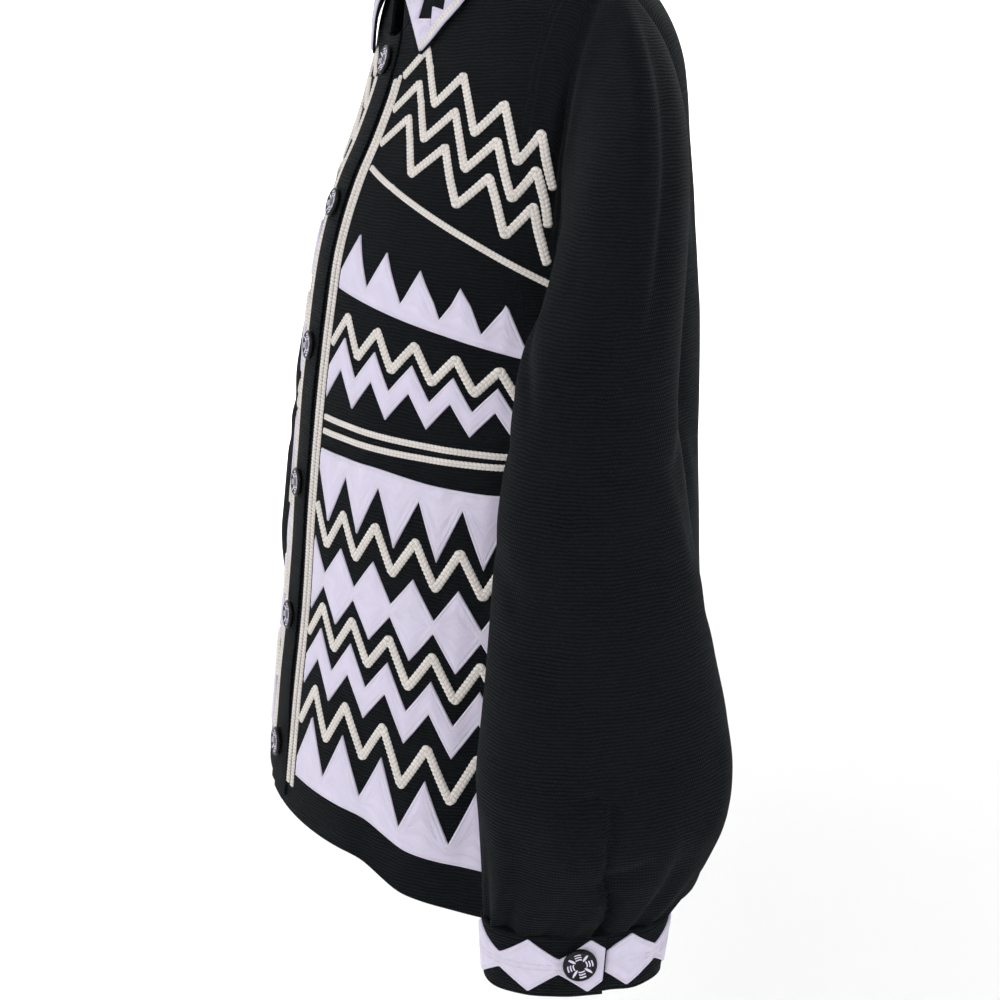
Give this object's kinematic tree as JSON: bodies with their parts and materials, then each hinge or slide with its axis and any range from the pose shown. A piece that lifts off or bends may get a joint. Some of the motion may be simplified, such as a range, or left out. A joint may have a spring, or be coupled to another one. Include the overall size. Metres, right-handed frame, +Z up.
{
  "type": "knitted cardigan",
  "caption": "Button-front knitted cardigan with a pointed collar, bishop sleeves pleated into cuffs, white cloth applique and thick braid, hollow as worn.",
  "frame": {"origin": "middle of the shoulder line, level with the sides of the neck, where the wearer carries it", "axes": "+Z up, -Y the way the front faces, +X toward the wearer's left sleeve"},
  "size_m": [0.6634, 0.3343, 0.7355],
  "materials": {
    "knit": "matte fine ribbed knit",
    "applique": "matte woven cloth with turned edges",
    "braid": "matte thick couched braid",
    "button": "semi-gloss with pale ticks"
  },
  "bodies": {
    "root": {"front_left": "knit", "front_right": "knit", "back": "knit", "sleeve_left": "knit", "sleeve_right": "knit", "cuff_left": "knit", "cuff_right": "knit", "band_left": "knit", "band_right": "knit", "collar_stand": "knit", "collar_leaf": "knit", "button_front_1": "button", "button_front_2": "button", "button_front_3": "button", "button_front_4": "button", "button_front_5": "button", "button_front_6": "button", "button_cuff_left": "button", "cuff_chain_left": "applique", "edge_braid_left": "braid", "hem_points_left": "applique", "hem_zigzag_left": "applique", "lozenges_left": "applique", "hanging_points_left": "applique", "button_cuff_right": "button", "cuff_chain_right": "applique", "edge_braid_right": "braid", "hem_points_right": "applique", "hem_zigzag_right": "applique", "lozenges_right": "applique", "hanging_points_right": "applique"}
  },
  "joints": []
}
